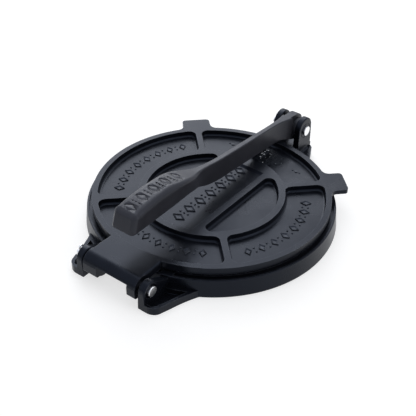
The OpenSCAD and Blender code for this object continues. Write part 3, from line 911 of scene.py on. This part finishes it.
def make_lever():
    """The lever casting: its arm and grip, the hub that narrows to a round collar, and the bore."""
    lever = make_arm()
    # the hub's round core, and a second round that carries it up into the arm
    combine(lever, bar(-HUB_CORE_X - 0.05, HUB_CORE_X + 0.05, PIVOT_Y, PIVOT_Z, HUB_R))
    combine(lever, bar(-HUB_CORE_X, HUB_CORE_X, PIVOT_Y - 1.1, PIVOT_Z + 2.3, HUB_R))
    # a slanted shoulder on both sides, where the wide end of the arm gives way to the hub
    shoulder = prism([(142.0, 60), (155.2, 25.2), (155.2, 16), (180, 16), (180, 60)], "X", 4.5, 9)
    far_shoulder = mirrored(shoulder)
    cut(lever, shoulder)
    cut(lever, far_shoulder)
    combine(lever, bar(-HUB_X, HUB_X, PIVOT_Y, PIVOT_Z, COLLAR_R))
    cut(lever, bar(-20, 20, PIVOT_Y, PIVOT_Z, LEVER_PIN_R + TURNING_FIT, 48))
    soften(lever, 0.7, angle=38)
    sink_grip_marks(lever, -127.0, 68.0, 9)
    seal(lever)
    bpy.ops.object.shade_smooth_by_angle(angle=math.radians(35))
    return lever


# ---------------------------------------------------------------- pins
def make_headed_pin(y, z, shank_r, head_r, seat_x, tail_x):
    """A turned pin with a low domed head, its shank chamfered at the tail."""
    head_thick = 2.15
    head = bar(seat_x, seat_x + head_thick, y, z, head_r, 48)
    pick(head, lambda f: f.normal.x > 0.9, "faces")
    for inward, outward in ((0.7, 0.06), (1.9, 0.03)):
        bpy.ops.mesh.inset(thickness=inward * MM, depth=0)
        bpy.ops.transform.translate(value=(outward * MM, 0, 0))
    bpy.ops.object.mode_set(mode="OBJECT")
    shank = bar(tail_x, seat_x + 0.5, y, z, shank_r, 48)
    round_edges(shank, lambda e: all(v.co.x / MM < tail_x + 0.01 for v in e.verts), 0.8, 2)
    combine(head, shank)
    return soften(head, 0.35, angle=50, segments=2)


# ---------------------------------------------------------------- the finished pieces
dress(make_base(), "base_casting", "base", "black_iron", BLACK_IRON, "base_plate")
dress(make_top_plate(), "top_plate_casting", "top_plate", "black_iron", BLACK_IRON, "top_plate")
dress(make_lever(), "lever_casting", "lever", "lever_iron", LEVER_IRON, "lever")
dress(make_pad(), "bearing_pad", "top_plate", "black_iron", ROUGH_PAD)
dress(make_rough_floor(), "rough_well_floor", "top_plate", "black_iron", ROUGH_FLOOR)
dress(make_headed_pin(HINGE_Y, HINGE_Z, HINGE_PIN_R, head_r=5.5, seat_x=43.7, tail_x=-49.5),
      "hinge_pin_turned", "base", "bright_steel", ZINC, "hinge_pin")
dress(make_headed_pin(PIVOT_Y, PIVOT_Z, LEVER_PIN_R, head_r=5.7, seat_x=18.4, tail_x=-24.2),
      "lever_pin_turned", "base", "bright_steel", ZINC, "lever_pin")
for name in ("hinge_split_pin", "lever_split_pin"):
    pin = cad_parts[name]
    pin.data.materials.clear()
    pin.data.materials.append(ZINC)


# ---------------------------------------------------------------- camera
AZIMUTH, ELEVATION, ROLL = math.radians(36.803), math.radians(36.835), math.radians(1.02)
AIM, DISTANCE = Vector((16.16, -27.96, 31.0)) * MM, 856.6 * MM
back = Vector((math.sin(AZIMUTH) * math.cos(ELEVATION),
               -math.cos(AZIMUTH) * math.cos(ELEVATION), math.sin(ELEVATION)))
level = Vector((math.cos(AZIMUTH), math.sin(AZIMUTH), 0))
upward = back.cross(level)
right = math.cos(ROLL) * level + math.sin(ROLL) * upward
up = math.cos(ROLL) * upward - math.sin(ROLL) * level
camera = bpy.data.objects.new("camera", bpy.data.cameras.new("camera"))
bpy.context.scene.collection.objects.link(camera)
camera.data.sensor_width = 36.0
camera.data.lens = 71.86
camera.data.clip_end = 20.0
facing = Matrix((right, up, back)).transposed().to_4x4()
camera.matrix_world = Matrix.Translation(AIM + back * DISTANCE) @ facing
bpy.context.scene.camera = camera


# ---------------------------------------------------------------- floor, world and lamps
def seen_or_lit(tree, seen, lit):
    """A colour that is one thing to the camera and to reflections, and another to bounced light."""
    path = node(tree, "ShaderNodeLightPath")
    direct = node(tree, "ShaderNodeMath", operation="MAXIMUM")
    tree.links.new(path.outputs["Is Camera Ray"], direct.inputs[0])
    tree.links.new(path.outputs["Is Glossy Ray"], direct.inputs[1])
    either = node(tree, "ShaderNodeMath", operation="MAXIMUM")
    tree.links.new(direct.outputs[0], either.inputs[0])
    tree.links.new(path.outputs["Is Transmission Ray"], either.inputs[1])
    return overlaid(tree, lit, seen, either.outputs[0])


clear_selection()
bpy.ops.mesh.primitive_plane_add(size=12, location=(0, 0, -0.0002))
floor = bpy.context.object
floor.name = "floor"
floor_paint, floor_tree, floor_shader = new_material("Pale floor")
floor_shader.inputs["Roughness"].default_value = 0.9
floor_shader.inputs["Specular IOR Level"].default_value = 0.0
floor_shader.inputs["Emission Strength"].default_value = 1.0
for socket, seen, lit in (("Base Color", 0.50, 0.35), ("Emission Color", 0.64, 0.0)):
    floor_tree.links.new(seen_or_lit(floor_tree, (seen,) * 3, (lit,) * 3), floor_shader.inputs[socket])
floor.data.materials.append(floor_paint)

# the room: white to the eye, grey as light, and a soft cool gradient where it is mirrored
ROOM_TINT = (("Red", 0.93), ("Green", 0.98), ("Blue", 1.10))
world = bpy.data.worlds.new("studio")
bpy.context.scene.world = world
world.use_nodes = True
studio = world.node_tree
sky = studio.nodes["Background"]
sight = node(studio, "ShaderNodeTexCoord")
height = node(studio, "ShaderNodeSeparateXYZ")
studio.links.new(sight.outputs["Generated"], height.inputs["Vector"])
walls = node(studio, "ShaderNodeMapRange", interpolation_type="SMOOTHSTEP",
             in_From_Min=0.02, in_From_Max=0.30, in_To_Min=0.20, in_To_Max=0.80)
studio.links.new(height.outputs["Z"], walls.inputs["Value"])
mirrored_room = node(studio, "ShaderNodeCombineColor")
for channel, share in ROOM_TINT:
    tint = node(studio, "ShaderNodeMath", operation="MULTIPLY")
    tint.inputs[1].default_value = share
    studio.links.new(walls.outputs[0], tint.inputs[0])
    studio.links.new(tint.outputs[0], mirrored_room.inputs[channel])
shown = seen_or_lit(studio, (1, 1, 1), (0.42, 0.43, 0.45))
route = node(studio, "ShaderNodeLightPath")
pick_room = node(studio, "ShaderNodeMix", data_type="RGBA")
studio.links.new(route.outputs["Is Glossy Ray"], pick_room.inputs["Factor"])
studio.links.new(shown, pick_room.inputs["A"])
studio.links.new(mirrored_room.outputs[0], pick_room.inputs["B"])
studio.links.new(pick_room.outputs["Result"], sky.inputs["Color"])


def softbox(name, place, size, power, tint=(1, 1, 1)):
    """A round soft lamp that faces the press."""
    lamp = bpy.data.objects.new(name, bpy.data.lights.new(name, "AREA"))
    bpy.context.scene.collection.objects.link(lamp)
    lamp.data.shape, lamp.data.size, lamp.data.energy = "DISK", size, power
    lamp.data.color = tint
    lamp.location = place
    lamp.rotation_mode = "QUATERNION"
    lamp.rotation_quaternion = (Vector(place) - Vector(PRESS_MIDDLE)).to_track_quat("Z", "Y")


PRESS_MIDDLE, COOL_WHITE = (0, 0, 0.03), (0.97, 0.98, 1.0)
softbox("overhead box", (-0.2, 0.3, 1.4), size=1.3, power=4, tint=COOL_WHITE)
softbox("rear box", (-1.05, 0.95, 0.95), size=1.5, power=14, tint=COOL_WHITE)
softbox("side box", (1.3, 0.1, 0.7), size=0.8, power=3)

bpy.context.scene.view_settings.view_transform = "Standard"
